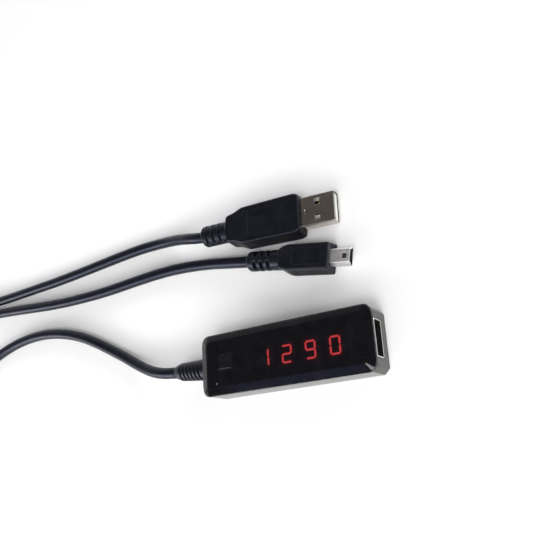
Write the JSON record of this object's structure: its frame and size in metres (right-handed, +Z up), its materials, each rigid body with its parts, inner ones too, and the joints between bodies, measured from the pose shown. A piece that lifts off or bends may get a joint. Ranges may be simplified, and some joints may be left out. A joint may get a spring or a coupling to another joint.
{
  "type": "usb power meter",
  "caption": "Slim in-line USB power meter with a smoked cover over a red numeric display, a socket at one end and a lead that forks to USB-A and mini-B plugs.",
  "frame": {"origin": "on the resting plane, under the middle of the meter's housing", "axes": "+X along the housing towards its USB socket, +Y across the housing towards the plugs, +Z up"},
  "size_m": [0.297, 0.0745, 0.0129],
  "materials": {
    "tray_plastic": "fine spark-eroded black ABS, slightly satin",
    "smoked_cover": "polished smoked translucent acrylic that the display shines through",
    "key_plastic": "polished black key cap",
    "board_green": "glass-epoxy board under green solder mask",
    "screw_steel": "zinc-plated",
    "bright_nickel": "nickel-plated rolled sheet with fine drawing lines",
    "contact_gold": "gold flash on phosphor bronze",
    "insulator_white": "moulded glass-filled nylon",
    "insulator_black": "moulded glass-filled nylon",
    "module_plastic": "display module case with a matt dark face",
    "segment_lit": "diffusing epoxy, lit red",
    "segment_dark": "diffusing epoxy, not lit",
    "pin_tin": "tinned lead wire and solder",
    "switch_plastic": "moulded switch case",
    "plunger_plastic": "moulded plunger",
    "led_epoxy": "clear epoxy light pipe",
    "chip_epoxy": "moulded chip package",
    "crystal_can": "nickel-plated can",
    "capacitor_tan": "fired ceramic",
    "resistor_black": "ceramic with a black glass coat",
    "wire_red": "core insulation",
    "cord_pvc": "satin black PVC jacket",
    "grip_pvc": "satin black moulded PVC",
    "tie_strap": "black hook-and-loop strap"
  },
  "bodies": {
    "housing": {"base_tray": "tray_plastic", "top_cover": "smoked_cover", "board_screws": "screw_steel", "circuit_board": "board_green", "usb_socket_shell": "bright_nickel", "usb_socket_tongue": "insulator_black", "usb_socket_contacts": "contact_gold", "display_module_1": "module_plastic", "display_module_2": "module_plastic", "display_module_3": "module_plastic", "display_module_4": "module_plastic", "display_pins": "pin_tin", "lit_segments": "segment_lit", "unlit_segments": "segment_dark", "key_switch_body": "switch_plastic", "indicator_led": "led_epoxy", "microcontroller": "chip_epoxy", "sense_amplifier": "chip_epoxy", "voltage_regulator": "chip_epoxy", "shunt_resistor": "resistor_black", "crystal": "crystal_can", "chip_resistors": "resistor_black", "chip_capacitors": "capacitor_tan", "core_wires": "wire_red", "wire_solder": "pin_tin", "cord_boot": "grip_pvc", "meter_cord": "cord_pvc", "cord_coil": "cord_pvc", "coil_tie": "tie_strap", "splitter_lead": "cord_pvc", "cord_splitter": "grip_pvc", "usb_a_leg": "cord_pvc", "mini_b_leg": "cord_pvc", "usb_a_grip": "grip_pvc", "usb_a_shell": "bright_nickel", "usb_a_tongue": "insulator_white", "usb_a_contacts": "contact_gold", "mini_b_grip": "grip_pvc", "mini_b_shell": "bright_nickel", "mini_b_tongue": "insulator_black", "mini_b_contacts": "contact_gold"},
    "key": {"mode_key": "key_plastic", "key_switch_plunger": "plunger_plastic"}
  },
  "joints": [
    {"name": "mode_key_press", "type": "slide", "parent": "housing", "child": "key", "axis": [0, 0, -1], "range_m": [0, 0.0003], "stiffness_N_per_m": 3000}
  ]
}
